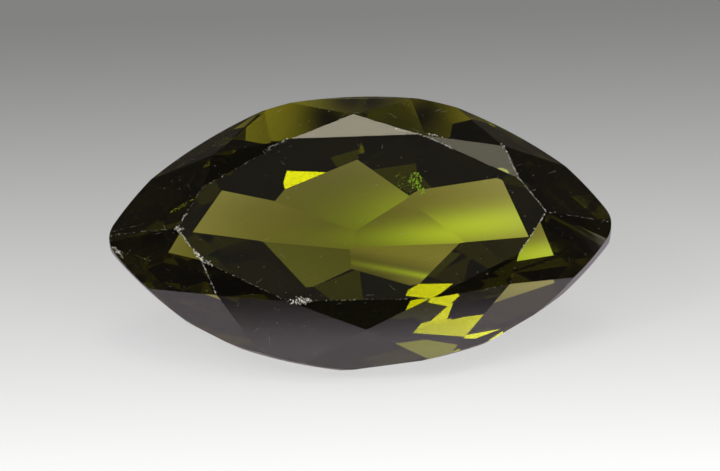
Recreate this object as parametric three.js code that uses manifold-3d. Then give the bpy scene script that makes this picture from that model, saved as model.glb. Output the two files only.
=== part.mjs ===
// A loose green diopside, cut as a marquise: pointed at both ends, bellied at the sides,
// with a flat table on top and two rows of facets down to a keel at the back.
// It lies as a cut stone comes to rest, on one belly facet of its back, with the table leaning
// towards the front. The origin is under the middle of its box. Millimetres, +Z up, X along the stone.

import * as THREE from 'three';
import { mergeVertices } from 'three/addons/utils/BufferGeometryUtils.js';
import Module from 'manifold-3d';

// The girdle outline: two equal arcs, with a small round nose where they would meet in a point.
const HALF_LENGTH = 8.0;
const HALF_WIDTH = 4.57;
const ARC_CROSSING = 8.17;
const ARC_FLATS = 30;

// Heights above and below the middle of the girdle.
const TABLE_HEIGHT = 1.32;
const BLANK_DEPTH = 5.0;

// Every facet is a flat ground at a tilt from the girdle plane (degrees), facing a compass
// direction (degrees from the long axis towards the side), at a reach from the stone's middle (mm).
// Four values stand for the four quarters: back right, back left, front left, front right.
// A hand-cut stone is uneven. Its crown is cut within a degree or so, its back within a few.
const CROWN = {
  endStars: {
    tilt: [14.0, 14.1, 14.0, 14.4],
    compass: [63.1, 61.6, 61.6, 63.6],
    reach: [2.10, 2.12, 2.12, 2.12],
  },
  tipMains: {
    tilt: [33.9, 33.4, 33.5, 33.3],
    compass: [36.1, 33.6, 35.2, 34.0],
    reach: [3.79, 3.75, 3.77, 3.78],
  },
  bellyMains: {
    tilt: [36.7, 36.3, 36.7, 36.3],
    compass: [75.5, 74.8, 75.5, 74.4],
    reach: [2.96, 2.97, 2.95, 2.95],
  },
  girdleHalves: {
    tilt: [54.5, 54.6, 54.2, 55.5],
    compass: [58.7, 58.4, 57.2, 59.4],
    reach: [4.26, 4.25, 4.28, 4.21],
  },
};
const PAVILION = {
  culetFacets: {
    tilt: [25.5, 26.0, 26.0, 23.7],
    compass: [61.8, 65.8, 56.3, 62.7],
    reach: [3.93, 3.99, 3.98, 3.91],
  },
  keelMains: {
    tilt: [32.9, 31.3, 34.7, 31.5],
    compass: [59.1, 57.0, 51.1, 57.3],
    reach: [3.96, 4.17, 4.03, 3.99],
  },
  bellyBreaks: {
    tilt: [47.5, 48.8, 47.2, 50.8],
    compass: [85.7, 84.4, 80.8, 81.1],
    reach: [3.49, 3.49, 3.50, 3.50],
  },
  sideBreaks: {
    tilt: [48.9, 48.5, 49.6, 46.5],
    compass: [74.9, 78.2, 75.0, 74.3],
    reach: [3.69, 3.66, 3.60, 3.63],
  },
  shoulderBreaks: {
    tilt: [54.3, 57.3, 54.8, 54.4],
    compass: [62.8, 64.9, 61.5, 60.5],
    reach: [4.29, 4.30, 4.27, 4.33],
  },
  tipBreaks: {
    tilt: [51.7, 55.9, 55.7, 54.1],
    compass: [40.9, 44.9, 45.1, 46.8],
    reach: [5.01, 5.03, 4.99, 5.07],
  },
};

// The facets that cross the belly are single: one at the back and one at the front.
const CROWN_BELLY = {
  bellyStars: {
    tilt: [13.7, 14.0],
    compass: [90.3, 90.8],
    reach: [1.94, 1.93],
  },
  bellyHalves: {
    tilt: [50.6, 50.8],
    compass: [90.0, 89.9],
    reach: [3.48, 3.49],
  },
};
const PAVILION_BELLY = {
  bellyMains: {
    tilt: [42.4, 42.0],
    compass: [92.2, 90.1],
    reach: [3.47, 3.47],
  },
};
const FRONT = 1;

// The grinding block is bigger than the stone each way.
const BLOCK_SIDE = 60;
const BLOCK_THICKNESS = 12;

const UP = new THREE.Vector3(0, 0, 1);
const DOWN = new THREE.Vector3(0, 0, -1);

const wasm = await Module();
wasm.setup();

function toSolid(geometry) {
  const bare = geometry.index ? geometry.clone() : geometry;
  bare.deleteAttribute('normal');
  bare.deleteAttribute('uv');
  const merged = mergeVertices(bare, 1e-6);
  return new wasm.Manifold(new wasm.Mesh({
    numProp: 3,
    vertProperties: new Float32Array(merged.attributes.position.array),
    triVerts: new Uint32Array(merged.index.array),
  }));
}

function toGeometry(solid) {
  const mesh = solid.getMesh();
  const geometry = new THREE.BufferGeometry();
  geometry.setAttribute('position', new THREE.BufferAttribute(new Float32Array(mesh.vertProperties), 3));
  geometry.setIndex(new THREE.BufferAttribute(new Uint32Array(mesh.triVerts), 1));
  return geometry;
}

// The outline seen from above. The nose is the circle that touches both arcs and reaches the tip.
function girdleOutline() {
  const arcRadius = (ARC_CROSSING ** 2 + HALF_WIDTH ** 2) / (2 * HALF_WIDTH);
  const arcCentre = arcRadius - HALF_WIDTH;
  const noseRadius = (arcRadius ** 2 - HALF_LENGTH ** 2 - arcCentre ** 2) / (2 * (arcRadius - HALF_LENGTH));
  const noseCentre = HALF_LENGTH - noseRadius;
  const touch = Math.atan2(arcCentre, noseCentre);
  const outline = new THREE.Shape();
  outline.absarc(0, -arcCentre, arcRadius, touch, Math.PI - touch, false);
  outline.absarc(-noseCentre, 0, noseRadius, Math.PI - touch, Math.PI + touch, false);
  outline.absarc(0, arcCentre, arcRadius, Math.PI + touch, 2 * Math.PI - touch, false);
  outline.absarc(noseCentre, 0, noseRadius, -touch, touch, false);
  return outline;
}

// The blank is the outline drawn straight down from the table to below the keel.
function stoneBlank() {
  const depth = TABLE_HEIGHT + BLANK_DEPTH;
  const straight = { depth, bevelEnabled: false, curveSegments: ARC_FLATS };
  const blank = new THREE.ExtrudeGeometry(girdleOutline(), straight);
  blank.translate(0, 0, -BLANK_DEPTH);
  return toSolid(blank);
}

// The outward direction of a facet. Side is 1 on the crown and -1 on the pavilion.
function facetNormal(tilt, compass, side) {
  const lean = THREE.MathUtils.degToRad(tilt);
  const turn = THREE.MathUtils.degToRad(compass);
  return new THREE.Vector3(
    Math.sin(lean) * Math.cos(turn),
    Math.sin(lean) * Math.sin(turn),
    side * Math.cos(lean),
  );
}

function grind(solid, normal, reach) {
  const block = new THREE.BoxGeometry(BLOCK_SIDE, BLOCK_SIDE, BLOCK_THICKNESS);
  block.applyQuaternion(new THREE.Quaternion().setFromUnitVectors(UP, normal));
  block.translate(...normal.clone().multiplyScalar(reach + BLOCK_THICKNESS / 2).toArray());
  return solid.subtract(toSolid(block));
}

// One tier of four facets, a quarter of the stone each.
function grindQuarters(solid, tier, side) {
  const quarters = [[1, 1], [-1, 1], [-1, -1], [1, -1]];
  quarters.forEach(([alongX, alongY], quarter) => {
    const normal = facetNormal(tier.tilt[quarter], tier.compass[quarter], side);
    normal.multiply(new THREE.Vector3(alongX, alongY, 1));
    solid = grind(solid, normal, tier.reach[quarter]);
  });
  return solid;
}

// One pair of facets that face the back and the front.
function grindBellyPair(solid, tier, side) {
  [1, -1].forEach((alongY, half) => {
    const normal = facetNormal(tier.tilt[half], tier.compass[half], side);
    normal.multiply(new THREE.Vector3(1, alongY, 1));
    solid = grind(solid, normal, tier.reach[half]);
  });
  return solid;
}

function cutStone() {
  let stone = stoneBlank();
  Object.values(CROWN).forEach((tier) => { stone = grindQuarters(stone, tier, 1); });
  Object.values(CROWN_BELLY).forEach((tier) => { stone = grindBellyPair(stone, tier, 1); });
  Object.values(PAVILION).forEach((tier) => { stone = grindQuarters(stone, tier, -1); });
  Object.values(PAVILION_BELLY).forEach((tier) => { stone = grindBellyPair(stone, tier, -1); });
  return toGeometry(stone);
}

// The stone is turned until its front belly main lies flat on the ground, then centred.
function layDown(geometry) {
  const main = PAVILION_BELLY.bellyMains;
  const under = facetNormal(main.tilt[FRONT], -main.compass[FRONT], -1);
  geometry.applyQuaternion(new THREE.Quaternion().setFromUnitVectors(under, DOWN));
  geometry.computeBoundingBox();
  const box = geometry.boundingBox;
  const middle = box.getCenter(new THREE.Vector3());
  geometry.translate(-middle.x, -middle.y, -box.min.z);
  return geometry;
}

function gemMaterial() {
  return new THREE.MeshStandardMaterial({
    color: new THREE.Color(0x5c6b22),
    roughness: 0.03,
    metalness: 0.0,
    transparent: true,
    opacity: 0.75,
  });
}

const gem = new THREE.Mesh(layDown(cutStone()), gemMaterial());
gem.name = 'marquise_gem';

const group = new THREE.Group();
group.add(gem);

export default group;
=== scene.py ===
# %% [markdown]
# # A marquise gemstone on a pale table
# The object is one loose stone: a green gem, 16 mm long, ground all over with
# flat facets and lying on its side, so that its big top facet leans towards
# the eye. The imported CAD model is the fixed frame, and every length below is
# in metres in that same frame.

# %% Load the frame
import math
import bmesh
import bpy
from mathutils import Matrix, Vector


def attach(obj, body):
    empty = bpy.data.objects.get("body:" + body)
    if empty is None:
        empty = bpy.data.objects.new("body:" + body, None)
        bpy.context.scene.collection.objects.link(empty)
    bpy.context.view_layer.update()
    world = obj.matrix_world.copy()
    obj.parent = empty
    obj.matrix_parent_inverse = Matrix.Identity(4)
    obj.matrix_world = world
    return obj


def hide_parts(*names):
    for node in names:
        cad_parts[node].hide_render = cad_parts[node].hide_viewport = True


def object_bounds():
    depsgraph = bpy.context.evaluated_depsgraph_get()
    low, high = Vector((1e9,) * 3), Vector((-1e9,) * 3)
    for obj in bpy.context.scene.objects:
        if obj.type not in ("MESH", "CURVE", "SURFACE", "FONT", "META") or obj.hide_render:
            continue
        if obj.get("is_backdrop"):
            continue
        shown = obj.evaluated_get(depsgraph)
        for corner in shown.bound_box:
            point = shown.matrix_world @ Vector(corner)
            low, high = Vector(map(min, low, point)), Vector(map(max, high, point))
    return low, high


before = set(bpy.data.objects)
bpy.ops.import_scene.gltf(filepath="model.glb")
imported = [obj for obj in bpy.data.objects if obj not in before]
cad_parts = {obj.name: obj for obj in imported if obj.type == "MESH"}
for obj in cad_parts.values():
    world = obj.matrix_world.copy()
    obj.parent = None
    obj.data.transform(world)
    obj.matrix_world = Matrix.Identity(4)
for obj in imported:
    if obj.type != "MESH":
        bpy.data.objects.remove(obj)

cad_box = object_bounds()
MM = 0.001
stone_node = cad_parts["marquise_gem"]
print("nodes", sorted(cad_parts), "faces", len(stone_node.data.polygons))

# %% [markdown]
# ## The stone's own axes
# A cutter holds a stone by its table, the big top facet, and counts every
# angle from it. The table is the largest flat of the mesh, and the two tips
# are its ends along X, so the stone's long axis, its width and its up can be
# read from the frame instead of being typed in.

# %% Read the table and the tips
TABLE_HEIGHT = 1.32 * MM
WELD = 0.0005 * MM
FLAT_ANGLE = math.radians(0.25)


def welded_facets(mesh):
    """The mesh with its loose triangles welded and joined into flat facets."""
    solid = bmesh.new()
    solid.from_mesh(mesh)
    bmesh.ops.remove_doubles(solid, verts=solid.verts, dist=WELD)
    bmesh.ops.dissolve_limit(solid, angle_limit=FLAT_ANGLE, verts=solid.verts, edges=solid.edges)
    return solid


stone = welded_facets(stone_node.data)
table = max(stone.faces, key=lambda facet: facet.calc_area())
up_axis = table.normal.copy()
left_tip = min((corner.co for corner in stone.verts), key=lambda point: point.x).copy()
right_tip = max((corner.co for corner in stone.verts), key=lambda point: point.x).copy()
long_axis = (right_tip - left_tip).normalized()
long_axis = (long_axis - up_axis * long_axis.dot(up_axis)).normalized()
wide_axis = up_axis.cross(long_axis)
tip_middle = (left_tip + right_tip) / 2
table_point = table.calc_center_median()
waist = tip_middle + up_axis * (up_axis.dot(table_point - tip_middle) - TABLE_HEIGHT)
print("facets", len(stone.faces), "leaning", round(math.degrees(math.acos(up_axis.z)), 2), "deg")
print("waist", [round(value / MM, 3) for value in waist])


def from_stone(x, y, z):
    """A point given in millimetres along the stone's own axes, in the frame."""
    return waist + (long_axis * x + wide_axis * y + up_axis * z) * MM


# %% [markdown]
# ## The camera
# A long lens far away looks down on the stone, 18 degrees off square to the
# table. It is made first, because the facets show quite other things from
# anywhere else. Its angles are counted in the stone's own axes, and PX_PER_MM
# says how large a millimetre of the stone comes out in the picture.

# %% Camera at the photograph's angle
EYE_TILT = math.radians(17.776)
EYE_YAW = math.radians(-0.257)
EYE_ROLL = math.radians(1.778)
EYE_DISTANCE = 408.3 * MM
SENSOR_WIDTH = 36
FRAME_WIDTH_PX = 720
PX_PER_MM = 31.39
WAIST_RIGHT_PX = 0.26
WAIST_UP_PX = 3.55


def camera_axes():
    """Back, right and up of the camera, in the stone's own axes."""
    flat = math.cos(EYE_TILT)
    back = Vector((math.sin(EYE_YAW) * flat, -math.sin(EYE_TILT), math.cos(EYE_YAW) * flat))
    back.normalize()
    level = Vector((0, 1, 0)).cross(back).normalized()
    above = back.cross(level)
    right = level * math.cos(EYE_ROLL) - above * math.sin(EYE_ROLL)
    up = level * math.sin(EYE_ROLL) + above * math.cos(EYE_ROLL)
    return back, right, up


def turned(direction):
    """A direction along the stone's own axes, in the frame."""
    return long_axis * direction.x + wide_axis * direction.y + up_axis * direction.z


back, right, up = [turned(axis) for axis in camera_axes()]
aim = waist - (right * WAIST_RIGHT_PX + up * WAIST_UP_PX) / PX_PER_MM * MM
eye_data = bpy.data.cameras.new("eye")
eye = bpy.data.objects.new("eye", eye_data)
bpy.context.scene.collection.objects.link(eye)
bpy.context.scene.camera = eye
eye_data.sensor_width = SENSOR_WIDTH
eye_data.lens = SENSOR_WIDTH * EYE_DISTANCE / (FRAME_WIDTH_PX / PX_PER_MM * MM)
eye_data.clip_start = 0.01
eye_data.clip_end = 20
facing = Matrix((right, up, back)).transposed().to_4x4()
eye.matrix_world = Matrix.Translation(aim + back * EYE_DISTANCE) @ facing
eye_height = math.degrees(math.asin(back.z))
print("lens", round(eye_data.lens, 1), "mm, eye", round(eye_height, 2), "deg above the paper")

# %% [markdown]
# ## The cut stone
# The facets are flat and meet in sharp ridges, so the welded copy of the CAD
# mesh is the right shape as it stands. Round the waist runs the girdle, a thin
# wall that a cutter leaves ground and matt. Each of its faces gets the value 1
# in an attribute, which the material reads.

# %% Stone mesh and its matt girdle
GIRDLE_LEAN = 0.06


def new_piece(name, mesh):
    """An object that rides on the stone's one body."""
    piece = bpy.data.objects.new(name, mesh)
    bpy.context.scene.collection.objects.link(piece)
    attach(piece, "root")
    return piece


stone_mesh = bpy.data.meshes.new("cut_stone")
stone.to_mesh(stone_mesh)
matt = stone_mesh.attributes.new("matt", "FLOAT", "FACE")
for face in stone_mesh.polygons:
    matt.data[face.index].value = float(abs(face.normal.dot(up_axis)) < GIRDLE_LEAN)
cut_stone = new_piece("cut_stone", stone_mesh)
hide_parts("marquise_gem")
print("girdle faces", sum(int(item.value) for item in matt.data))

# %% [markdown]
# ## Green glassy stone
# Diopside bends light strongly, and its green is in its depth: a thin edge is
# nearly clear and a long path inside is almost black. So the surface is plain
# clear glass with the stone's refraction index, and the colour comes from
# absorption in the volume. A film of dust too fine to see as specks lifts the
# blackest facets a little, and a weak warm sheen over the glass gives that.

# %% Stone material
INDEX = 1.688
ABSORB = 700.0
PASSED = (0.71, 0.71, 0.04, 1.0)
GIRDLE_ROUGHNESS = 0.45
DUST_FILM = 0.13
DUST_TINT = (1.0, 0.87, 0.68, 1.0)


def empty_material(name):
    """A material with only its output node, and that output."""
    made = bpy.data.materials.new(name)
    made.use_nodes = True
    made.node_tree.nodes.clear()
    return made, made.node_tree.nodes.new("ShaderNodeOutputMaterial")


def add_node(tree, kind, **values):
    """A node of that kind, with socket values by name."""
    node = tree.nodes.new(kind)
    for name, value in values.items():
        node.inputs[name.replace("_", " ")].default_value = value
    return node


green_glass, glass_out = empty_material("green_glass")
glass_tree = green_glass.node_tree
surface = add_node(glass_tree, "ShaderNodeBsdfPrincipled", Roughness=0.0, IOR=INDEX,
                   Transmission_Weight=1.0, Sheen_Weight=DUST_FILM, Sheen_Roughness=0.5)
surface.inputs["Base Color"].default_value = (1, 1, 1, 1)
surface.inputs["Sheen Tint"].default_value = DUST_TINT
depth = add_node(glass_tree, "ShaderNodeVolumeAbsorption", Color=PASSED, Density=ABSORB)
matt_value = glass_tree.nodes.new("ShaderNodeAttribute")
matt_value.attribute_name = "matt"
matt_rough = add_node(glass_tree, "ShaderNodeMapRange")
matt_rough.inputs["To Max"].default_value = GIRDLE_ROUGHNESS
glass_tree.links.new(matt_value.outputs["Fac"], matt_rough.inputs["Value"])
glass_tree.links.new(matt_rough.outputs["Result"], surface.inputs["Roughness"])
glass_tree.links.new(surface.outputs["BSDF"], glass_out.inputs["Surface"])
glass_tree.links.new(depth.outputs["Volume"], glass_out.inputs["Volume"])
stone_mesh.materials.append(green_glass)
print("stone faces", len(stone_mesh.polygons), "index", INDEX, "absorbing", ABSORB, "per metre")

# %% [markdown]
# ## Chipped ridges
# Diopside is soft for a gem, so its ridges bruise: each one breaks up into a
# line of tiny white chips, heavy round the ends of the table and faint out to
# the tips. They could be painted on, but at this size they stand proud and
# catch light from all sides, so they are real crumbs. One Geometry Nodes tree
# walks along a line, drops crumbs at random and sets each on the stone.

# %% Tree that crumbles a line
SEED_STRIDE = 7.0
CRUMB_LEAST = (0.5, 0.5, 0.4)
CRUMB_MOST = (1.5, 1.1, 0.9)


def named_input(tree, name, kind, value=None):
    """One named input of a node tree."""
    socket = tree.interface.new_socket(name, in_out="INPUT", socket_type=kind)
    if value is not None:
        socket.default_value = value
    return socket


def crumb_tree():
    """A tree that turns the edges of a mesh, as a line, into crumbs on the stone."""
    tree = bpy.data.node_groups.new("crumbs_along_a_line", "GeometryNodeTree")
    named_input(tree, "Geometry", "NodeSocketGeometry")
    named_input(tree, "Stone", "NodeSocketObject")
    named_input(tree, "Finish", "NodeSocketMaterial")
    named_input(tree, "Spacing", "NodeSocketFloat", 0.03 * MM)
    named_input(tree, "Spread", "NodeSocketFloat", 0.02 * MM)
    named_input(tree, "Smallest", "NodeSocketFloat", 0.006 * MM)
    named_input(tree, "Largest", "NodeSocketFloat", 0.02 * MM)
    named_input(tree, "Kept", "NodeSocketFloat", 0.6)
    named_input(tree, "Seed", "NodeSocketInt", 1)
    tree.interface.new_socket("Geometry", in_out="OUTPUT", socket_type="NodeSocketGeometry")
    link = tree.links.new
    given = tree.nodes.new("NodeGroupInput")
    line = tree.nodes.new("GeometryNodeMeshToCurve")
    link(given.outputs["Geometry"], line.inputs["Mesh"])
    walk = tree.nodes.new("GeometryNodeResampleCurve")
    walk.mode = "LENGTH"
    link(line.outputs["Curve"], walk.inputs["Curve"])
    link(given.outputs["Spacing"], walk.inputs["Length"])
    spots = tree.nodes.new("GeometryNodeCurveToPoints")
    spots.mode = "EVALUATED"
    link(walk.outputs["Curve"], spots.inputs["Curve"])
    keep = random_value(tree, given, "BOOLEAN", 1)
    link(given.outputs["Kept"], keep.inputs["Probability"])
    chosen = tree.nodes.new("GeometryNodeSeparateGeometry")
    link(spots.outputs["Points"], chosen.inputs["Geometry"])
    link(keep.outputs[3], chosen.inputs["Selection"])
    scatter = random_value(tree, given, "FLOAT_VECTOR", 2)
    scatter.inputs["Min"].default_value = (-1, -1, -1)
    scatter.inputs["Max"].default_value = (1, 1, 1)
    spread = tree.nodes.new("ShaderNodeVectorMath")
    spread.operation = "SCALE"
    link(scatter.outputs[0], spread.inputs[0])
    link(given.outputs["Spread"], spread.inputs["Scale"])
    moved = tree.nodes.new("GeometryNodeSetPosition")
    link(chosen.outputs["Selection"], moved.inputs["Geometry"])
    link(spread.outputs[0], moved.inputs["Offset"])
    carrier = tree.nodes.new("GeometryNodeObjectInfo")
    link(given.outputs["Stone"], carrier.inputs["Object"])
    nearest = tree.nodes.new("GeometryNodeProximity")
    link(carrier.outputs["Geometry"], nearest.inputs[0])
    settled = tree.nodes.new("GeometryNodeSetPosition")
    link(moved.outputs[0], settled.inputs["Geometry"])
    link(nearest.outputs["Position"], settled.inputs["Position"])
    crumbs_on_points(tree, given, settled.outputs[0])
    return tree


def random_value(tree, given, kind, stream):
    """A random value node with its own stream of the tree's seed."""
    node = tree.nodes.new("FunctionNodeRandomValue")
    node.data_type = kind
    mixed = tree.nodes.new("ShaderNodeMath")
    mixed.operation = "MULTIPLY_ADD"
    mixed.inputs[1].default_value = SEED_STRIDE
    mixed.inputs[2].default_value = stream
    tree.links.new(given.outputs["Seed"], mixed.inputs[0])
    tree.links.new(mixed.outputs[0], node.inputs["Seed"])
    return node


def crumbs_on_points(tree, given, points):
    """Sets a small uneven crumb on every point, turned and sized at random."""
    link = tree.links.new
    crumb = tree.nodes.new("GeometryNodeMeshIcoSphere")
    crumb.inputs["Radius"].default_value = 1.0
    crumb.inputs["Subdivisions"].default_value = 1
    size = random_value(tree, given, "FLOAT", 3)
    link(given.outputs["Smallest"], size.inputs[2])
    link(given.outputs["Largest"], size.inputs[3])
    shape = random_value(tree, given, "FLOAT_VECTOR", 4)
    shape.inputs["Min"].default_value = CRUMB_LEAST
    shape.inputs["Max"].default_value = CRUMB_MOST
    scaled = tree.nodes.new("ShaderNodeVectorMath")
    scaled.operation = "SCALE"
    link(shape.outputs[0], scaled.inputs[0])
    link(size.outputs[1], scaled.inputs["Scale"])
    turn = random_value(tree, given, "FLOAT_VECTOR", 5)
    turn.inputs["Max"].default_value = (math.tau, math.tau, math.tau)
    placed = tree.nodes.new("GeometryNodeInstanceOnPoints")
    link(points, placed.inputs["Points"])
    link(crumb.outputs["Mesh"], placed.inputs["Instance"])
    link(turn.outputs[0], placed.inputs["Rotation"])
    link(scaled.outputs[0], placed.inputs["Scale"])
    real = tree.nodes.new("GeometryNodeRealizeInstances")
    link(placed.outputs[0], real.inputs[0])
    finish = tree.nodes.new("GeometryNodeSetMaterial")
    link(real.outputs[0], finish.inputs["Geometry"])
    link(given.outputs["Finish"], finish.inputs["Material"])
    done = tree.nodes.new("NodeGroupOutput")
    link(finish.outputs["Geometry"], done.inputs[0])


line_crumbs = crumb_tree()
print("inputs", [item.name for item in line_crumbs.interface.items_tree if item.in_out == "INPUT"])

# %% [markdown]
# ## What a chip is made of
# A chip is the same stone broken fine. Powdered glass scatters all light, so it
# looks white, a little green where it is thick.

# %% Broken stone material
BROKEN_GREEN = (0.60, 0.64, 0.46, 1)
BROKEN_WHITE = (0.97, 0.97, 0.94, 1)
MOTTLE_SCALE = 9000.0
broken_stone, broken_out = empty_material("broken_stone")
broken_tree = broken_stone.node_tree
broken = add_node(broken_tree, "ShaderNodeBsdfPrincipled", Roughness=0.55, IOR=1.5)
where = broken_tree.nodes.new("ShaderNodeTexCoord")
mottle = add_node(broken_tree, "ShaderNodeTexNoise", Scale=MOTTLE_SCALE, Detail=2.0)
broken_tree.links.new(where.outputs["Object"], mottle.inputs["Vector"])
tints = broken_tree.nodes.new("ShaderNodeValToRGB")
tints.color_ramp.elements[0].color = BROKEN_GREEN
tints.color_ramp.elements[0].position = 0.3
tints.color_ramp.elements[1].color = BROKEN_WHITE
tints.color_ramp.elements[1].position = 0.6
broken_tree.links.new(mottle.outputs["Fac"], tints.inputs["Fac"])
broken_tree.links.new(tints.outputs["Color"], broken.inputs["Base Color"])
broken_tree.links.new(broken.outputs["BSDF"], broken_out.inputs["Surface"])
print("broken stone mottled every", round(1000 / MOTTLE_SCALE, 3), "mm or so")

# %% [markdown]
# ## Where the ridges are worn
# Each stretch is a line of points along the stone's own axes, in millimetres.
# The corners of the facets come from the frame's own mesh: a rough place picks
# the nearest corner, so a recut stone would carry its wear along. The points
# between the corners are placed one by one from the photograph.

# %% Corners of the table and its stars
TABLE_LEVEL = TABLE_HEIGHT / MM
STAR_LEVEL = 1.1


def corner_near(x, y, z=TABLE_LEVEL):
    """The stone's corner nearest to a rough place, both in millimetres along its own axes."""
    rough = from_stone(x, y, z)
    nearest = min((corner.co for corner in stone.verts), key=lambda point: (point - rough).length)
    away = nearest - waist
    return tuple(away.dot(axis) / MM for axis in (long_axis, wide_axis, up_axis))


TABLE_LEFT = corner_near(-5.8, -0.1)
TABLE_RIGHT = corner_near(5.9, 0.1)
BACK_LEFT = corner_near(-5.0, 1.2)
BACK_RIGHT = corner_near(5.1, 1.2)
FRONT_LEFT = corner_near(-5.1, -1.2)
FRONT_RIGHT = corner_near(5.0, -1.3)
MID_BACK_LEFT = corner_near(-2.2, 2.7)
MID_BACK_RIGHT = corner_near(2.1, 2.7)
MID_FRONT_LEFT = corner_near(-2.4, -2.7)
MID_FRONT_RIGHT = corner_near(2.2, -2.7)
STAR_BACK_RIGHT = corner_near(4.6, 2.4, STAR_LEVEL)
STAR_FRONT_LEFT = corner_near(-4.6, -2.3, STAR_LEVEL)
STAR_FRONT_RIGHT = corner_near(4.7, -2.2, STAR_LEVEL)
print("table from tip to tip", round(TABLE_RIGHT[0] - TABLE_LEFT[0], 2), "mm")
for star in (STAR_BACK_RIGHT, STAR_FRONT_LEFT, STAR_FRONT_RIGHT):
    print("star corner", [round(value, 3) for value in star])


# %% Helpers for lines and crumbs
def line_object(name, stretches):
    """A loose mesh of edges through the points of each stretch."""
    points, edges = [], []
    for stretch in stretches:
        first = len(points)
        points += [from_stone(*point) for point in stretch]
        edges += [(first + step, first + step + 1) for step in range(len(stretch) - 1)]
    mesh = bpy.data.meshes.new(name)
    mesh.from_pydata(points, edges, [])
    made = bpy.data.objects.new(name, mesh)
    bpy.context.scene.collection.objects.link(made)
    return made


def crumble(name, tree, carrier_mesh, **sizes):
    """Runs a crumb tree on a mesh object and keeps the result as a plain piece."""
    modifier = carrier_mesh.modifiers.new("crumbs", "NODES")
    modifier.node_group = tree
    sockets = {item.name: item.identifier for item in tree.interface.items_tree if item.in_out == "INPUT"}
    modifier[sockets["Stone"]] = cut_stone
    modifier[sockets["Finish"]] = broken_stone
    for key, value in sizes.items():
        modifier[sockets[key]] = value
    ready = carrier_mesh.evaluated_get(bpy.context.evaluated_depsgraph_get())
    mesh = bpy.data.meshes.new_from_object(ready)
    mesh.name = name
    bpy.data.objects.remove(carrier_mesh)
    piece = new_piece(name, mesh)
    print(name, len(mesh.polygons), "faces")
    return piece


# %% Chips on the ridges
chipped = line_object("chipped_lines", [
    [(-5.49, 0.38, 1.32), TABLE_LEFT, FRONT_LEFT, STAR_FRONT_LEFT],
    [TABLE_LEFT, (-5.45, -0.66, 1.32)],
    [FRONT_LEFT, (-4.74, -1.41, 1.31)],
    [STAR_BACK_RIGHT, BACK_RIGHT, TABLE_RIGHT, (5.5, -0.58, 1.32), FRONT_RIGHT],
    [(4.55, 2.45, 1.05), (4.86, 1.95, 1.19)],
    [(1.2, 3.0, 1.27), (1.95, 2.80, 1.32), MID_BACK_RIGHT, (2.95, 2.32, 1.31)],
    [(2.2, 2.85, 1.28), (2.7, 2.7, 1.27)],
    [(-3.05, 2.36, 1.31), (-2.45, 2.66, 1.32), (-2.2, 2.8, 1.31)],
])
crumble("ridge_chips", line_crumbs, chipped, Spacing=0.015 * MM, Spread=0.030 * MM,
        Smallest=0.003 * MM, Largest=0.026 * MM, Kept=0.50, Seed=3)

# %% Specks on the fainter ridges
faint = line_object("faint_lines", [
    [TABLE_LEFT, (-7.95, 0.10, 0.09)],
    [(-7.9, 0.24, 0.09), (-6.85, 0.30, 0.68)],
    [(-7.82, -0.40, 0.14), (-7.25, -0.66, 0.35), (-6.55, -0.99, 0.60)],
    [TABLE_RIGHT, (7.9, 0.03, 0.24)],
    [FRONT_RIGHT, STAR_FRONT_RIGHT, (3.9, -2.42, 1.19)],
    [FRONT_LEFT, MID_FRONT_LEFT, MID_FRONT_RIGHT],
    [BACK_LEFT, MID_BACK_LEFT],
    [MID_BACK_RIGHT, BACK_RIGHT],
    [BACK_LEFT, TABLE_LEFT],
    [(-2.78, -3.22, 0.86), (-1.82, -3.38, 0.91)],
])
crumble("ridge_specks", line_crumbs, faint, Spacing=0.04 * MM, Spread=0.018 * MM,
        Smallest=0.003 * MM, Largest=0.014 * MM, Kept=0.40, Seed=8)

# %% Bruises, the widest patches
bruises = line_object("bruise_lines", [
    [(-2.30, -2.64, 1.32), (-1.95, -2.70, 1.32), (-1.58, -2.62, 1.32)],
    [(-2.25, -2.70, 1.31), (-1.75, -2.72, 1.31)],
    [(-2.10, -2.56, 1.32), (-1.72, -2.60, 1.32)],
    [(-5.86, -0.12, 1.31), (-5.66, -0.16, 1.32)],
    [(-5.30, -0.92, 1.32), (-4.98, -1.22, 1.32), (-4.80, -1.30, 1.32)],
    [(-7.90, -0.30, 0.12), (-7.60, -0.62, 0.20)],
])
crumble("bruises", line_crumbs, bruises, Spacing=0.007 * MM, Spread=0.06 * MM,
        Smallest=0.005 * MM, Largest=0.032 * MM, Kept=0.50, Seed=5)

# %% [markdown]
# ## Dust
# Close up, a stone that has been handled carries specks of dust all over its
# upper facets. They could be a noise in the material, but then they would lie
# inside the polish. So they are crumbs again, and the tree scatters them on
# faces instead of along a line.

# %% Tree that dusts a surface
def dust_tree():
    """A tree that scatters crumbs over the faces of a mesh."""
    tree = bpy.data.node_groups.new("dust_on_a_surface", "GeometryNodeTree")
    named_input(tree, "Geometry", "NodeSocketGeometry")
    named_input(tree, "Stone", "NodeSocketObject")
    named_input(tree, "Finish", "NodeSocketMaterial")
    named_input(tree, "Density", "NodeSocketFloat", 3.0e6)
    named_input(tree, "Smallest", "NodeSocketFloat", 0.003 * MM)
    named_input(tree, "Largest", "NodeSocketFloat", 0.01 * MM)
    named_input(tree, "Seed", "NodeSocketInt", 1)
    tree.interface.new_socket("Geometry", in_out="OUTPUT", socket_type="NodeSocketGeometry")
    given = tree.nodes.new("NodeGroupInput")
    spots = tree.nodes.new("GeometryNodeDistributePointsOnFaces")
    tree.links.new(given.outputs["Geometry"], spots.inputs["Mesh"])
    tree.links.new(given.outputs["Density"], spots.inputs["Density"])
    tree.links.new(given.outputs["Seed"], spots.inputs["Seed"])
    crumbs_on_points(tree, given, spots.outputs["Points"])
    return tree


scattering = dust_tree()
print("inputs", [item.name for item in scattering.interface.items_tree if item.in_out == "INPUT"])

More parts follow.
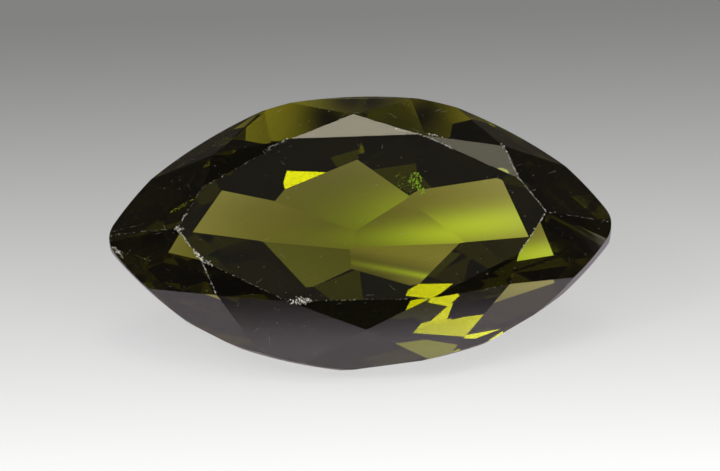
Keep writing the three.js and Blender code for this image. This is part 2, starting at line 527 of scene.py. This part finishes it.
# %% Dust on the upper facets
CROWN_LEAN = 0.3
crown = bmesh.new()
crown.from_mesh(stone_mesh)
lower = [facet for facet in crown.faces if facet.normal.dot(up_axis) < CROWN_LEAN]
bmesh.ops.delete(crown, geom=lower, context="FACES")
crown_mesh = bpy.data.meshes.new("crown_facets")
crown.to_mesh(crown_mesh)
crown.free()


def crown_facets(name):
    """A fresh object of the upper facets, for a tree to work on."""
    made = bpy.data.objects.new(name, crown_mesh)
    bpy.context.scene.collection.objects.link(made)
    return made


crumble("dust_specks", scattering, crown_facets("dusty"), Density=3.0e6, Smallest=0.003 * MM,
        Largest=0.011 * MM, Seed=11)

# %% [markdown]
# ## Hair scratches
# Between the specks run scratches as fine as a hair, from other stones in the
# same paper packet. Each is a hair-thin sliver of broken surface, laid flat on
# its facet and spun at random about the facet's normal.

# %% Tree that scratches a surface
def scratch_tree():
    """A tree that lays thin slivers flat on the faces of a mesh, spun at random."""
    tree = bpy.data.node_groups.new("scratches_on_a_surface", "GeometryNodeTree")
    named_input(tree, "Geometry", "NodeSocketGeometry")
    named_input(tree, "Stone", "NodeSocketObject")
    named_input(tree, "Finish", "NodeSocketMaterial")
    named_input(tree, "Density", "NodeSocketFloat", 1.0e6)
    named_input(tree, "Width", "NodeSocketFloat", 0.004 * MM)
    named_input(tree, "Shortest", "NodeSocketFloat", 0.08 * MM)
    named_input(tree, "Longest", "NodeSocketFloat", 0.7 * MM)
    named_input(tree, "Seed", "NodeSocketInt", 1)
    tree.interface.new_socket("Geometry", in_out="OUTPUT", socket_type="NodeSocketGeometry")
    link = tree.links.new
    given = tree.nodes.new("NodeGroupInput")
    spots = tree.nodes.new("GeometryNodeDistributePointsOnFaces")
    link(given.outputs["Geometry"], spots.inputs["Mesh"])
    link(given.outputs["Density"], spots.inputs["Density"])
    link(given.outputs["Seed"], spots.inputs["Seed"])
    sliver = tree.nodes.new("GeometryNodeMeshCube")
    sliver.inputs["Size"].default_value = (1.0, 1.0, 0.5)
    spin = random_value(tree, given, "FLOAT", 6)
    spin.inputs[3].default_value = math.pi
    turn = tree.nodes.new("FunctionNodeAxisAngleToRotation")
    link(spin.outputs[1], turn.inputs["Angle"])
    laid = tree.nodes.new("FunctionNodeRotateRotation")
    laid.rotation_space = "LOCAL"
    link(spots.outputs["Rotation"], laid.inputs["Rotation"])
    link(turn.outputs["Rotation"], laid.inputs["Rotate By"])
    length = random_value(tree, given, "FLOAT", 7)
    link(given.outputs["Shortest"], length.inputs[2])
    link(given.outputs["Longest"], length.inputs[3])
    size = tree.nodes.new("ShaderNodeCombineXYZ")
    link(length.outputs[1], size.inputs["X"])
    link(given.outputs["Width"], size.inputs["Y"])
    link(given.outputs["Width"], size.inputs["Z"])
    placed = tree.nodes.new("GeometryNodeInstanceOnPoints")
    link(spots.outputs["Points"], placed.inputs["Points"])
    link(sliver.outputs["Mesh"], placed.inputs["Instance"])
    link(laid.outputs["Rotation"], placed.inputs["Rotation"])
    link(size.outputs["Vector"], placed.inputs["Scale"])
    real = tree.nodes.new("GeometryNodeRealizeInstances")
    link(placed.outputs[0], real.inputs[0])
    finish = tree.nodes.new("GeometryNodeSetMaterial")
    link(real.outputs[0], finish.inputs["Geometry"])
    link(given.outputs["Finish"], finish.inputs["Material"])
    done = tree.nodes.new("NodeGroupOutput")
    link(finish.outputs["Geometry"], done.inputs[0])
    return tree


# %% Scratches on the upper facets
crumble("hair_scratches", scratch_tree(), crown_facets("scratched"), Density=0.7e6,
        Width=0.0016 * MM, Shortest=0.05 * MM, Longest=0.35 * MM, Seed=4)

# %% [markdown]
# ## A healed crack inside
# Under the table, right of the middle, floats a small fern-like veil. It is a
# crack that healed while the crystal grew and trapped rows of tiny droplets.
# They scatter the green light inside the stone, so they show as a lime spot.
# The same tree that drops dust drops them, on a few small ovals in the depth.
# In the photograph the spot is brighter than droplets of plain colour come out
# here, so their material adds a small glow of its own. The glow is matched to
# the spot, it isn't a measured property of the stone.

# %% What a droplet looks like
# Painted glow: the droplets give off a little light of their own, though they are no lamp.
DROP_GLOW_STRENGTH = 0.22
DROP_COLOUR = (0.70, 0.98, 0.12, 1.0)
DROP_GLOW = (0.45, 0.80, 0.05, 1.0)
veil_drops, veil_out = empty_material("veil_drops")
drop_surface = add_node(veil_drops.node_tree, "ShaderNodeBsdfPrincipled", Roughness=0.4, IOR=1.4,
                        Emission_Strength=DROP_GLOW_STRENGTH)
drop_surface.inputs["Base Color"].default_value = DROP_COLOUR
drop_surface.inputs["Emission Color"].default_value = DROP_GLOW
veil_drops.node_tree.links.new(drop_surface.outputs["BSDF"], veil_out.inputs["Surface"])
print("droplet glow", DROP_GLOW_STRENGTH)

# %% Ovals that carry the droplets
OVAL_CORNERS = 16
VEIL_RISE = 0.4
VEIL_LEVEL = 0.42


def oval_sheets(name, ovals):
    """Leaning ovals inside the stone: middle x and y, half length and half width in millimetres."""
    points, sheets = [], []
    for middle_x, middle_y, half_long, half_wide in ovals:
        sheets.append(list(range(len(points), len(points) + OVAL_CORNERS)))
        for step in range(OVAL_CORNERS):
            turn = math.tau * step / OVAL_CORNERS
            along = half_long * math.cos(turn)
            across = half_wide * math.sin(turn)
            corner = (middle_x + along, middle_y + across, VEIL_LEVEL + VEIL_RISE * across)
            points.append(from_stone(*corner))
    mesh = bpy.data.meshes.new(name)
    mesh.from_pydata(points, [], sheets)
    made = bpy.data.objects.new(name, mesh)
    bpy.context.scene.collection.objects.link(made)
    return made


veil_core = oval_sheets("veil_core", [(1.82, 1.42, 0.22, 0.26), (1.98, 1.06, 0.10, 0.14)])
veil_edge = oval_sheets("veil_edge", [(1.60, 1.20, 0.40, 0.34), (1.32, 1.50, 0.14, 0.20)])
crumble("fern_veil", scattering, veil_core, Finish=veil_drops, Density=4.5e8,
        Smallest=0.006 * MM, Largest=0.038 * MM, Seed=21)
crumble("fern_veil_edge", scattering, veil_edge, Finish=veil_drops, Density=1.7e8,
        Smallest=0.004 * MM, Largest=0.020 * MM, Seed=22)

# %% [markdown]
# ## Soft light
# A polished facet shows one small patch of its surroundings, so a cut stone is
# lit patch by patch. Seen from the camera, the warm soft box is mirrored by
# the small facet behind the table, its wing by the one at the right, and a
# very weak box by the table itself. The other lamps show through the stone:
# the right lamp is the bright square in it, the left lamps and the rear one
# are the yellow glints at the lower right, and the weak front box lifts the
# olive between. The mauve of the front facets is no lamp but the paper that
# they mirror. A wide fill light, which no facet mirrors, lights the chips, the
# dust and the paper evenly. All sides are slopes, metres sideways for each
# metre up, so the height can change without moving a reflection. Places and
# strengths were fitted to the photograph, they aren't the real studio's.

# %% Helper for light boxes
LAMP_HEIGHT = 400 * MM
SKY_STEPS = 40


def sky_share(slope_x, slope_y):
    """The share of its full light that level paper gets from a lamp over those slopes."""
    across = (slope_x[1] - slope_x[0]) / SKY_STEPS
    deep = (slope_y[1] - slope_y[0]) / SKY_STEPS
    total = 0.0
    for i in range(SKY_STEPS):
        for j in range(SKY_STEPS):
            x = slope_x[0] + (i + 0.5) * across
            y = slope_y[0] + (j + 0.5) * deep
            total += across * deep / (math.pi * (1 + x * x + y * y) ** 2)
    return total


def light_box(name, slope_x, slope_y, radiance, height=LAMP_HEIGHT, tint=(1.0, 1.0, 1.0)):
    """A rectangular lamp overhead that covers those slopes, as bright as given."""
    size = ((slope_x[1] - slope_x[0]) * height, (slope_y[1] - slope_y[0]) * height)
    lamp = bpy.data.lights.new(name, "AREA")
    lamp.shape = "RECTANGLE"
    lamp.size, lamp.size_y = size
    lamp.energy = radiance * math.pi * size[0] * size[1]
    lamp.color = tint
    holder = bpy.data.objects.new(name, lamp)
    bpy.context.scene.collection.objects.link(holder)
    holder.location = (sum(slope_x) / 2 * height, sum(slope_y) / 2 * height, height)
    share = sky_share(slope_x, slope_y)
    print(name, [round(side, 3) for side in size], "m, white paper", round(radiance * share, 3))
    return holder, radiance * share


# %% Light boxes
FILL_RADIANCE = 0.9
FILL_HEIGHT = 700 * MM
WARM = (1.0, 0.923, 0.698)
lamps = [
    light_box("soft_box", (-0.075, 0.195), (-0.075, 0.235), 4.23, tint=WARM),
    light_box("soft_box_wing", (0.195, 0.325), (-0.075, 0.235), 1.6, tint=WARM),
    light_box("table_sheen", (-0.06, 0.07), (-0.482, -0.415), 0.12, tint=WARM),
    light_box("front_box", (-1.20, 0.09), (-1.10, -0.49), 0.29),
    light_box("left_lamp", (-1.10, -0.69), (-0.59, -0.21), 8.60),
    light_box("left_lamp_behind", (-1.52, -1.32), (0.39, 0.56), 8.84),
    light_box("left_lamp_low", (-2.10, -1.78), (-0.40, -0.19), 13.79),
    light_box("rear_lamp", (-0.78, -0.54), (0.89, 0.99), 0.97),
    light_box("right_lamp", (0.69, 0.88), (-1.02, -0.84), 10.66),
]
fill, fill_level = light_box("fill_light", (-1.0, 1.0), (-1.0, 0.8), FILL_RADIANCE, height=FILL_HEIGHT)
fill.visible_glossy = False
fill.visible_transmission = False
LIT_LEVEL = fill_level + sum(level for lamp, level in lamps)
print("white paper under all lamps", round(LIT_LEVEL, 3))

# %% [markdown]
# ## The pale table
# The stone lies on white paper that fades to grey towards the back. A clear
# dark stone shows its surroundings more than itself, so the paper does two
# jobs here. To the eye it is one smooth fade with a faint true shadow. To the
# rays that the stone bends or mirrors it also has painted light and shade for
# what lies hidden under and behind the stone: a painted shadow where it rests,
# its soft shadow painted on, a painted green glow where light through it would
# fall, a painted brighter front, and a darkening farther out.
# A camera ray and a bent one are told apart by the Light Path node in the
# paper's own material. So the camera and the stone don't see the same paper,
# which is a stage trick, and the tones that the stone sees are fitted to the
# photograph and not measured.

# %% Helpers for the paper
PAPER_CURVE = 1.3


def math_node(tree, operation, first, second=None):
    """A math node fed by sockets or plain numbers."""
    node = tree.nodes.new("ShaderNodeMath")
    node.operation = operation
    for slot, value in zip(node.inputs, (first, second)):
        if value is None:
            continue
        if isinstance(value, (int, float)):
            slot.default_value = value
        else:
            tree.links.new(value, slot)
    return node.outputs[0]


def soft_spot_group():
    """A shader group: 1 at the middle of an oval on the table, fading smoothly to 0."""
    tree = bpy.data.node_groups.new("soft_spot", "ShaderNodeTree")
    for name in ("X", "Y", "Middle X", "Middle Y", "Half Width", "Half Depth"):
        tree.interface.new_socket(name, in_out="INPUT", socket_type="NodeSocketFloat")
    tree.interface.new_socket("Amount", in_out="OUTPUT", socket_type="NodeSocketFloat")
    given = tree.nodes.new("NodeGroupInput")
    done = tree.nodes.new("NodeGroupOutput")
    squares = []
    for axis, size in (("X", "Half Width"), ("Y", "Half Depth")):
        away = math_node(tree, "SUBTRACT", given.outputs[axis], given.outputs["Middle " + axis])
        share = math_node(tree, "DIVIDE", away, given.outputs[size])
        squares.append(math_node(tree, "MULTIPLY", share, share))
    total = math_node(tree, "MULTIPLY", math_node(tree, "ADD", *squares), -0.5)
    tree.links.new(math_node(tree, "EXPONENT", total), done.inputs["Amount"])
    return tree


soft_spot = soft_spot_group()
print("soft spot inputs", [item.name for item in soft_spot.interface.items_tree if item.in_out == "INPUT"])


# %% Spots, soft steps and fades
def spot_on_paper(tree, x, y, middle, half_sizes):
    """The amount of one soft spot, its middle and half sizes in millimetres."""
    node = tree.nodes.new("ShaderNodeGroup")
    node.node_tree = soft_spot
    tree.links.new(x, node.inputs["X"])
    tree.links.new(y, node.inputs["Y"])
    for name, value in zip(("Middle X", "Middle Y", "Half Width", "Half Depth"), (*middle, *half_sizes)):
        node.inputs[name].default_value = value * MM
    return node.outputs["Amount"]


def fading(tree, y, near, far, low):
    """Paper tone from 1 in front to low at the back, y in metres."""
    share = add_node(tree, "ShaderNodeMapRange")
    share.inputs["From Min"].default_value = far
    share.inputs["From Max"].default_value = near
    tree.links.new(y, share.inputs["Value"])
    bent = math_node(tree, "POWER", share.outputs["Result"], PAPER_CURVE)
    return math_node(tree, "ADD", math_node(tree, "MULTIPLY", bent, 1 - low), low)


def soft_step(tree, amount):
    """0 well below zero and 1 well above it, with a smooth rise between."""
    falling = math_node(tree, "EXPONENT", math_node(tree, "MULTIPLY", amount, -1.0))
    return math_node(tree, "DIVIDE", 1.0, math_node(tree, "ADD", 1.0, falling))


print("paper helpers ready, curve", PAPER_CURVE)


# %% Floor mesh
FLOOR_SIZE = 3.0
AIR_GAP = 0.01 * MM
half = FLOOR_SIZE / 2
corners = [(x, y, -AIR_GAP) for x, y in ((-half, -half), (half, -half), (half, half), (-half, half))]
floor_mesh = bpy.data.meshes.new("floor")
floor_mesh.from_pydata(corners, [], [(0, 1, 2, 3)])
floor = bpy.data.objects.new("floor", floor_mesh)
bpy.context.scene.collection.objects.link(floor)
floor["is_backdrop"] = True
print("floor", FLOOR_SIZE, "m square,", AIR_GAP / MM, "mm under the stone")

# %% [markdown]
# ## What the eye sees of the paper
# The shown tone is one fade from almost white in front to mid grey at the
# back. Most of it is given as light, so it stays smooth, and a share of it is
# plain matt white under the lamps, which takes the stone's true faint shadow.

# %% Paper as the eye sees it
FRONT = 0.99
REAR = 0.222
NEAR_Y = -9.1 * MM
FAR_Y = 20.7 * MM
LIT_SHARE = 0.22
paper, paper_out = empty_material("pale_paper")
tree = paper.node_tree
place = tree.nodes.new("ShaderNodeTexCoord")
split = tree.nodes.new("ShaderNodeSeparateXYZ")
tree.links.new(place.outputs["Object"], split.inputs[0])
x, y = split.outputs["X"], split.outputs["Y"]
shown_tone = math_node(tree, "MULTIPLY", fading(tree, y, NEAR_Y, FAR_Y, REAR / FRONT), FRONT)
seen_glow = add_node(tree, "ShaderNodeEmission")
tree.links.new(math_node(tree, "MULTIPLY", shown_tone, 1 - LIT_SHARE), seen_glow.inputs["Strength"])
seen_matt = add_node(tree, "ShaderNodeBsdfDiffuse")
tree.links.new(math_node(tree, "MULTIPLY", shown_tone, LIT_SHARE / LIT_LEVEL), seen_matt.inputs["Color"])
seen = tree.nodes.new("ShaderNodeAddShader")
tree.links.new(seen_glow.outputs[0], seen.inputs[0])
tree.links.new(seen_matt.outputs[0], seen.inputs[1])
print("shown tone", FRONT, "in front,", REAR, "at the back")

# %% [markdown]
# ## What the stone sees of the paper
# The facets at the back look down on the paper at odd angles, so each patch of
# the pattern in the stone belongs mostly to one spot on the paper. These tones
# are fitted to the photograph. A spot is its middle and its half sizes in
# millimetres, and how strong it is.

# %% Paper tones that the stone sees
# Painted light and shade: below, the paper's own light is painted brighter in front, darker in shadows
# under and behind the stone, and green where light through the stone would fall.
PAPER_REAR = 0.277
PAPER_NEAR = -3.77 * MM
PAPER_FAR = 26.0 * MM
PAINTED_BRIGHT_START = -5.0 * MM
PAINTED_BRIGHT_END = -12.0 * MM
PAINTED_BRIGHT_TONE = 1.45
# Painted shadows: these spots darken the paper's own light where the stone's shade would fall, and no lamp
# casts them.
PAINTED_REST_SHADOW = ((0.213, 0.523), (0.69, 1.51), 0.986)
PAINTED_REST_SHADOW_RIGHT = ((1.39, 0.917), (1.01, 0.794), 0.546)
PAINTED_CAST_SHADOW = ((-0.785, 3.91), (3.5, 1.88), 0.623)
PAINTED_SHADOWS = (PAINTED_REST_SHADOW, PAINTED_REST_SHADOW_RIGHT, PAINTED_CAST_SHADOW)
# Painted light: a green glow painted on the paper behind the stone, where light through the stone would
# fall.
PAINTED_CAUSTIC_SPOT = ((2.88, 3.59), (2.07, 0.424), 0.942)
PAINTED_CAUSTIC_TINT = (0.7, 1.0, 0.05, 1.0)
FRONT_TINT = (1.0, 0.87, 0.97, 1.0)
BACK_TINT = (1.0, 0.908, 1.14, 1.0)
TINT_SOFT = 1.5 * MM
DARKENS_AFTER_FRONT = 20.4 * MM
DARKENS_AFTER_BACK = 26.9 * MM
DARKENING_SOFT = 3.72 * MM
DARKENING_MIDDLE_X = 4 * MM
FAR_OFF_TONE = 0.04
hidden = fading(tree, y, PAPER_NEAR, PAPER_FAR, PAPER_REAR)
# Painted light: the paper that the stone sees is painted up to 1.45 times brighter towards the front, a
# pool of lamp light on it.
painted_bright = add_node(tree, "ShaderNodeMapRange")
for name, value in (("From Min", PAINTED_BRIGHT_START), ("From Max", PAINTED_BRIGHT_END), ("To Min", 1.0), ("To Max", PAINTED_BRIGHT_TONE)):
    painted_bright.inputs[name].default_value = value
tree.links.new(y, painted_bright.inputs["Value"])
hidden = math_node(tree, "MULTIPLY", hidden, painted_bright.outputs["Result"])
print("paper brightens towards the front, times", PAINTED_BRIGHT_TONE)

# %% Painted shadows under the stone
for middle, half_sizes, strength in PAINTED_SHADOWS:
    dark = math_node(tree, "MULTIPLY", spot_on_paper(tree, x, y, middle, half_sizes), strength)
    hidden = math_node(tree, "MULTIPLY", hidden, math_node(tree, "SUBTRACT", 1.0, dark))
print("dark spots", len(PAINTED_SHADOWS))

# %% The paper darkens farther out
# The paper that the stone sees darkens smoothly to 0.04 of its tone farther than about 2 cm out, farther
# behind than in front.
shift = math_node(tree, "SUBTRACT", x, DARKENING_MIDDLE_X)
squares = (math_node(tree, "MULTIPLY", side, side) for side in (shift, y))
reach = math_node(tree, "SQRT", math_node(tree, "ADD", *squares))
behind = math_node(tree, "GREATER_THAN", y, 0.0)
longer = math_node(tree, "MULTIPLY", behind, DARKENS_AFTER_BACK - DARKENS_AFTER_FRONT)
limit = math_node(tree, "ADD", longer, DARKENS_AFTER_FRONT)
inside = math_node(tree, "DIVIDE", math_node(tree, "SUBTRACT", limit, reach), DARKENING_SOFT)
edge = math_node(tree, "MULTIPLY", soft_step(tree, inside), 1 - FAR_OFF_TONE)
hidden = math_node(tree, "MULTIPLY", hidden, math_node(tree, "ADD", edge, FAR_OFF_TONE))
print("paper ends", DARKENS_AFTER_FRONT / MM, "mm in front and", DARKENS_AFTER_BACK / MM, "mm behind")

# %% Tints of the paper
tint_share = add_node(tree, "ShaderNodeMapRange")
tint_share.inputs["From Min"].default_value = -TINT_SOFT
tint_share.inputs["From Max"].default_value = TINT_SOFT
tree.links.new(y, tint_share.inputs["Value"])
tint = tree.nodes.new("ShaderNodeMix")
tint.data_type = "RGBA"
tree.links.new(tint_share.outputs["Result"], tint.inputs[0])
tint.inputs[6].default_value = FRONT_TINT
tint.inputs[7].default_value = BACK_TINT
hidden_white = add_node(tree, "ShaderNodeEmission")
tree.links.new(tint.outputs[2], hidden_white.inputs["Color"])
tree.links.new(hidden, hidden_white.inputs["Strength"])
# Painted light: the green glow is emission on the paper, and no lamp makes it.
painted_caustic = add_node(tree, "ShaderNodeEmission", Color=PAINTED_CAUSTIC_TINT)
painted_caustic_amount = spot_on_paper(tree, x, y, PAINTED_CAUSTIC_SPOT[0], PAINTED_CAUSTIC_SPOT[1])
tree.links.new(math_node(tree, "MULTIPLY", painted_caustic_amount, PAINTED_CAUSTIC_SPOT[2]), painted_caustic.inputs["Strength"])
hidden_paper = tree.nodes.new("ShaderNodeAddShader")
tree.links.new(hidden_white.outputs[0], hidden_paper.inputs[0])
tree.links.new(painted_caustic.outputs[0], hidden_paper.inputs[1])
path = tree.nodes.new("ShaderNodeLightPath")
which = tree.nodes.new("ShaderNodeMixShader")
tree.links.new(path.outputs["Is Camera Ray"], which.inputs[0])
tree.links.new(hidden_paper.outputs[0], which.inputs[1])
tree.links.new(seen.outputs[0], which.inputs[2])
tree.links.new(which.outputs[0], paper_out.inputs["Surface"])
floor_mesh.materials.append(paper)
print("paper nodes", len(tree.nodes))

# %% [markdown]
# ## The dim room
# A photo studio is dark apart from its lamps, and the dark is what makes a
# clear stone deep. A low pale band behind the table stands for the wall there,
# fitted like the lamps. To the eye the room has the tone of the far paper, so
# a low view shows a plain backdrop.

# %% Dim room, pale only to the eye
ROOM_TONE = 0.014
HORIZON_TONE = 0.249
HORIZON_TOP = 3.39
HORIZON_SOFT = 0.495
HORIZON_RIGHT = 0.608
world = bpy.data.worlds.new("room")
bpy.context.scene.world = world
world.use_nodes = True
room = world.node_tree
backdrop = room.nodes["Background"]
looking = room.nodes.new("ShaderNodeTexCoord")
room_split = room.nodes.new("ShaderNodeSeparateXYZ")
room.links.new(looking.outputs["Generated"], room_split.inputs[0])
rise = math_node(room, "MULTIPLY", math_node(room, "ARCSINE", room_split.outputs["Z"]), math.degrees(1))
below = math_node(room, "DIVIDE", math_node(room, "SUBTRACT", HORIZON_TOP, rise), HORIZON_SOFT)
towards_back = math_node(room, "GREATER_THAN", room_split.outputs["Y"], 0.0)
band = math_node(room, "MULTIPLY", soft_step(room, below), towards_back)
rightwards = math_node(room, "MULTIPLY", room_split.outputs["X"], HORIZON_RIGHT)
uneven = math_node(room, "MULTIPLY", math_node(room, "ADD", rightwards, 1.0), HORIZON_TONE)
real_room = math_node(room, "ADD", math_node(room, "MULTIPLY", band, uneven), ROOM_TONE)
room_path = room.nodes.new("ShaderNodeLightPath")
by_eye = room_path.outputs["Is Camera Ray"]
real_part = math_node(room, "MULTIPLY", real_room, math_node(room, "SUBTRACT", 1.0, by_eye))
shown_part = math_node(room, "MULTIPLY", by_eye, REAR)
room.links.new(math_node(room, "ADD", real_part, shown_part), backdrop.inputs["Strength"])
backdrop.inputs["Color"].default_value = (1, 1, 1, 1)
print("room tone", ROOM_TONE, "band up to", HORIZON_TOP, "deg")

# %% [markdown]
# ## How far light is followed
# In a cut stone light is thrown back and forth many times before it leaves, so
# the bounces are many. The glow that the facets throw on each other counts as
# caustics, and those stay on.

# %% How light is followed
BOUNCES = 32
scene = bpy.context.scene
scene.view_settings.view_transform = "Standard"
scene.cycles.max_bounces = BOUNCES
scene.cycles.glossy_bounces = BOUNCES
scene.cycles.transmission_bounces = BOUNCES
scene.cycles.caustics_refractive = True
scene.cycles.caustics_reflective = True
print("bounces", BOUNCES)

# %% [markdown]
# ## Sizes
# The dressed stone is meant to fill the same box as the CAD stone, so both are
# measured and their boxes printed.

# %% Sizes, and the end
dressed_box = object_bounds()
boxes = {"cad": cad_box, "visual": dressed_box}
for name, box in boxes.items():
    print(name, [round(value / MM, 3) for corner in box for value in corner])
